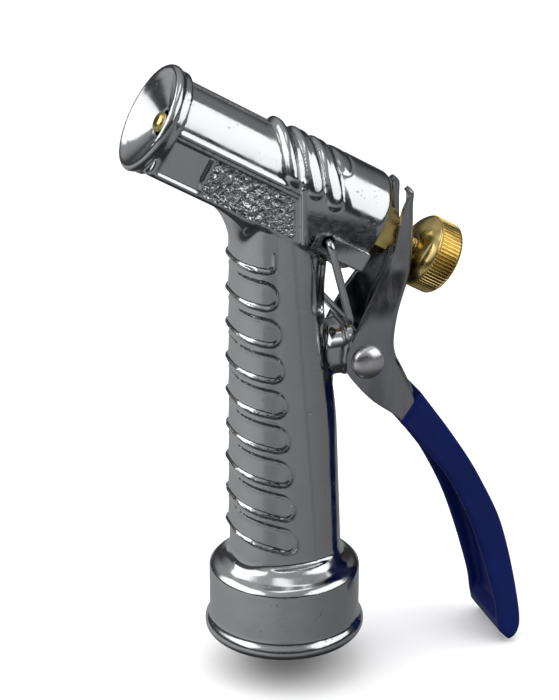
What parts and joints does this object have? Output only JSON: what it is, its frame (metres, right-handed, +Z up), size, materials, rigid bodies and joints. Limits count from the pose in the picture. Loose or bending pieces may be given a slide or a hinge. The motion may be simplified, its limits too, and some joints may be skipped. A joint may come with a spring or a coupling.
{
  "type": "hose spray nozzle",
  "caption": "Pistol-grip garden hose spray nozzle with a squeeze lever, adjusting knob, flared spray mouth, threaded hose collar and wire hold-open clip.",
  "frame": {"origin": "centre of the hose inlet at the collar's bottom rim", "axes": "+Z up the grip from the hose inlet to the barrel, -X towards the spray mouth, +X towards the lever, +Y across"},
  "size_m": [0.0946, 0.038, 0.1487],
  "materials": {
    "chromed_zinc": "bright chrome plate over die-cast zinc",
    "chromed_steel": "plated pressed steel, satin bright",
    "spring_steel": "bright drawn steel wire",
    "brass": "turned and polished",
    "black_rubber": "moulded",
    "blue_vinyl": "dipped soft vinyl, semi-gloss"
  },
  "bodies": {
    "body": {"body": "chromed_zinc", "hose_washer": "black_rubber", "return_spring": "spring_steel", "spring_seat_washer": "brass", "packing_ring_front": "black_rubber", "packing_ring_rear": "black_rubber", "gland_follower": "brass", "packing_nut": "brass"},
    "stem": {"stem": "brass", "valve_washer": "black_rubber", "valve_backing_washer": "brass"},
    "knob": {"adjusting_knob": "brass"},
    "lever": {"lever": "chromed_steel", "lever_grip": "blue_vinyl", "pivot_rivet": "chromed_steel"},
    "clip": {"hold_open_clip": "spring_steel"}
  },
  "joints": [
    {"name": "lever_pivot", "type": "hinge", "parent": "body", "child": "lever", "pos_m": [0.017, 0, 0.0693], "axis": [0, 1, 0], "range_deg": [0, 18], "stiffness_Nm_per_rad": 0.63, "springref_deg": -37.24},
    {"name": "stem_slide", "type": "slide", "parent": "body", "child": "stem", "axis": [0.8643, 0, -0.503], "range_m": [0, 0.0072], "deforming": ["return_spring"]},
    {"name": "knob_turn", "type": "hinge", "parent": "stem", "child": "knob", "pos_m": [0, 0, 0.1108], "axis": [0.8643, 0, -0.503], "range_deg": [-720, 720]},
    {"name": "clip_swing", "type": "hinge", "parent": "body", "child": "clip", "pos_m": [0.0064, 0, 0.1], "axis": [0, -1, 0], "range_deg": [0, 10]}
  ],
  "couplings": [
    {"joint": "stem_slide", "follows": "lever_pivot", "m_per_rad": 0.0226}
  ]
}
